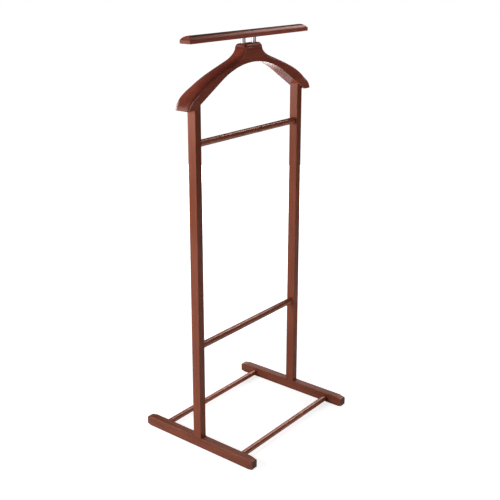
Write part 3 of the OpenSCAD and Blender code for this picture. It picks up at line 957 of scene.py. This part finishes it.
def bare_beech():
    """Unstained beech without lacquer, with its grain along Z."""
    material, tree, shader, place = new_material("bare_beech")
    wood = add_node(tree, "Mapping", {"Vector": place, "Rotation": GRAIN_TURN["Z"]})
    figure = add_node(
        tree, "Group",
        {"Vector": wood.outputs["Vector"], "Grain": GRAIN_AXIS["Z"],
         "Light Stain": BARE_LIGHT, "Dark Stain": BARE_DARK},
        node_tree=BEECH_GRAIN,
    ).outputs
    matt = calculate(tree, "ADD", figure["Roughness"], BARE_ROUGHNESS)
    tree.links.new(figure["Color"], shader["Base Color"])
    tree.links.new(matt, shader["Roughness"])
    return material


beech = bare_beech()
DOWELS = [side + "_foot_dowel" for side in SIDES]
DOWELS += [side + end + "_hanger_dowel" for side in SIDES for end in ("_front", "_rear")]
for node in DOWELS:
    dowel = make_piece(node + "_fluted", dowel_surface(*node_box(node)))
    finish_piece(dowel, beech, node)

# ---------------------------------------------------------------------------------------
# The studio: a pale floor and a white surround, unlit overhead and on the stand's right. A
# soft key lamp stands on the left, with fills in front, on the right and behind. Some lamps
# only light the wood, and the others only shine in its lacquer.
# ---------------------------------------------------------------------------------------
WHITE = (1, 1, 1, 1)
UNLIT_SIDE = (1, 0, 0)
UNLIT_FACING = (0.2, 0.7)
UNLIT_HEIGHT = (0.15, 0.45)


def shaded_side(tree, direction):
    """How far the studio is unlit in a direction: overhead, and to the stand's right."""
    level = reckon(tree, "MULTIPLY", direction, (1, 1, 0))["Vector"]
    ahead = reckon(tree, "NORMALIZE", level)["Vector"]
    facing = reckon(tree, "DOT_PRODUCT", ahead, UNLIT_SIDE)["Value"]
    height = add_node(tree, "SeparateXYZ", {0: direction}).outputs["Z"]
    to_side = fade(tree, facing, *UNLIT_FACING)
    return calculate(tree, "MAXIMUM", to_side, fade(tree, height, *UNLIT_HEIGHT))


def seen_by_camera_or_gloss(tree, unlit, level):
    """1 for the camera's rays and those through glass, and for gloss a level where it's lit."""
    path = add_node(tree, "LightPath").outputs
    lit = calculate(tree, "MULTIPLY_ADD", unlit, -level, level)
    seen = calculate(tree, "MULTIPLY", path["Is Glossy Ray"], lit)
    seen = calculate(tree, "MAXIMUM", seen, path["Is Camera Ray"])
    return calculate(tree, "MAXIMUM", seen, path["Is Transmission Ray"])


FLOOR_INNER_R = 0.2
FLOOR_GROWTH = 1.2
FLOOR_RINGS = 24
FLOOR_GRAIN = (40, 40)
FLOOR_DARK = (0.8, 0.8, 0.8, 1)
FLOOR_LIGHT = (0.86, 0.86, 0.86, 1)
FLOOR_ROUGHNESS = 0.9
FLOOR_GLOSS = 0.3
FLOOR_GLOW = 0.78
GLOW_RISE = (0.5, 1.2)
UNLIT_RISE = (0.0, 0.5)


def studio_floor():
    """A wide disc of floor, in rings whose radius grows by an even ratio.

    The face that closes the outermost ring is taken away again."""
    radius = FLOOR_INNER_R * FLOOR_GROWTH ** np.arange(FLOOR_RINGS)
    turn = np.arange(ROUND_SIDES) * 2 * np.pi / ROUND_SIDES
    x = radius[:, None] * np.cos(turn)
    y = radius[:, None] * np.sin(turn)
    floor = make_piece("studio_floor", np.dstack([x, y, x * 0]))
    shape = bmesh.new()
    shape.from_mesh(floor.data)
    shape.faces.ensure_lookup_table()
    bmesh.ops.delete(shape, geom=[shape.faces[-1]], context="FACES")
    shape.to_mesh(floor.data)
    shape.free()
    material, tree, shader, place = new_material("pale_floor")
    shader["Roughness"].default_value = FLOOR_ROUGHNESS
    shader["Specular IOR Level"].default_value = 0.0
    shader["Emission Color"].default_value = WHITE
    far = reckon(tree, "LENGTH", place)["Value"]
    grain = noise(tree, stretched(tree, place, FLOOR_GRAIN), detail=3.0)
    tree.links.new(blend(tree, grain, FLOOR_DARK, FLOOR_LIGHT), shader["Base Color"])
    beyond = fade(tree, far, *UNLIT_RISE)
    unlit = calculate(tree, "MULTIPLY", shaded_side(tree, place), beyond)
    seen = seen_by_camera_or_gloss(tree, unlit, FLOOR_GLOSS)
    lift = fade(tree, far, *GLOW_RISE)
    glow = calculate(tree, "MULTIPLY_ADD", lift, 1 - FLOOR_GLOW, FLOOR_GLOW)
    tree.links.new(calculate(tree, "MULTIPLY", glow, seen), shader["Emission Strength"])
    floor.data.materials.append(material)


def area_lamp(name, place, aim_height, size, watts, lights, colour=(1, 1, 1)):
    """A soft box facing a height on the stand's axis.

    It lights "wood", by diffuse light alone, or "gloss", as a reflection alone."""
    light = bpy.data.lights.new(name, "AREA")
    light.shape = "RECTANGLE"
    light.size, light.size_y = size
    light.energy = watts
    light.color = colour
    lamp = bpy.data.objects.new(name, light)
    lamp.location = place
    ahead = Vector((0, 0, aim_height)) - Vector(place)
    lamp.rotation_euler = ahead.to_track_quat("-Z", "Y").to_euler()
    lamp.visible_camera = False
    lamp.visible_diffuse = lights == "wood"
    lamp.visible_glossy = lights == "gloss"
    bpy.context.collection.objects.link(lamp)


DAYLIGHT = 0.06


def studio_world():
    """White where the camera looks past the floor, and for gloss on the studio's lit sides,
    with dim daylight on the stand."""
    world = bpy.data.worlds.new("studio")
    bpy.context.scene.world = world
    world.use_nodes = True
    tree = world.node_tree
    unlit = shaded_side(tree, add_node(tree, "TexCoord").outputs["Generated"])
    seen = seen_by_camera_or_gloss(tree, unlit, 1.0)
    strength = calculate(tree, "MULTIPLY_ADD", seen, 1 - DAYLIGHT, DAYLIGHT)
    tree.links.new(strength, tree.nodes["Background"].inputs["Strength"])
    tree.nodes["Background"].inputs["Color"].default_value = WHITE


CAMERA_PLACE = (-1.7502, -1.3969, 1.2797)
CAMERA_YAW = np.radians(38.489)
CAMERA_PITCH = np.radians(16.861)
CAMERA_ROLL = np.radians(0.064)
CAMERA_LENS = 62.617
CAMERA_SHIFT = -0.07


def set_camera():
    """The camera, turned from looking along +X by its yaw, pitch and roll."""
    ahead = Vector((
        np.cos(CAMERA_YAW) * np.cos(CAMERA_PITCH), np.sin(CAMERA_YAW) * np.cos(CAMERA_PITCH),
        -np.sin(CAMERA_PITCH),
    ))
    right = Vector((np.sin(CAMERA_YAW), -np.cos(CAMERA_YAW), 0))
    upward = right.cross(ahead)
    level = Matrix((right, upward, -ahead)).transposed()
    roll = Matrix.Rotation(CAMERA_ROLL, 3, "Z")
    lens = bpy.data.cameras.new("camera")
    lens.lens = CAMERA_LENS
    lens.shift_y = CAMERA_SHIFT
    camera = bpy.data.objects.new("camera", lens)
    camera.matrix_world = Matrix.Translation(CAMERA_PLACE) @ (level @ roll).to_4x4()
    bpy.context.collection.objects.link(camera)
    bpy.context.scene.camera = camera


studio_floor()
area_lamp("key", (-2.1, 0.75, 1.15), aim_height=1.05, size=(0.9, 1.0), watts=36, lights="wood")
area_lamp(
    "key_glint", (-1.76, 1.48, 1.05), aim_height=1.05, size=(1.3, 1.3), watts=18, lights="gloss",
)
area_lamp(
    "front_fill", (1.1, -1.6, 0.65), aim_height=0.7, size=(0.6, 0.6), watts=5.0, lights="wood",
)
area_lamp(
    "right_lamp", (2.3, 0.0, 2.45), aim_height=0.7, size=(1.1, 0.8), watts=23, lights="gloss",
    colour=(1, 0.66, 0.56),
)
area_lamp(
    "right_fill", (2.6, 0.1, 0.9), aim_height=0.7, size=(1.2, 1.4), watts=24, lights="wood",
)
area_lamp(
    "back_panel", (1.3, 0.65, 0.55), aim_height=0.4, size=(1.3, 1.1), watts=3.8, lights="gloss",
)
area_lamp("back_fill", (2.4, 1.9, 0.6), aim_height=0.6, size=(1.6, 1.2), watts=55, lights="wood")
studio_world()
set_camera()
bpy.context.scene.view_settings.view_transform = "Standard"
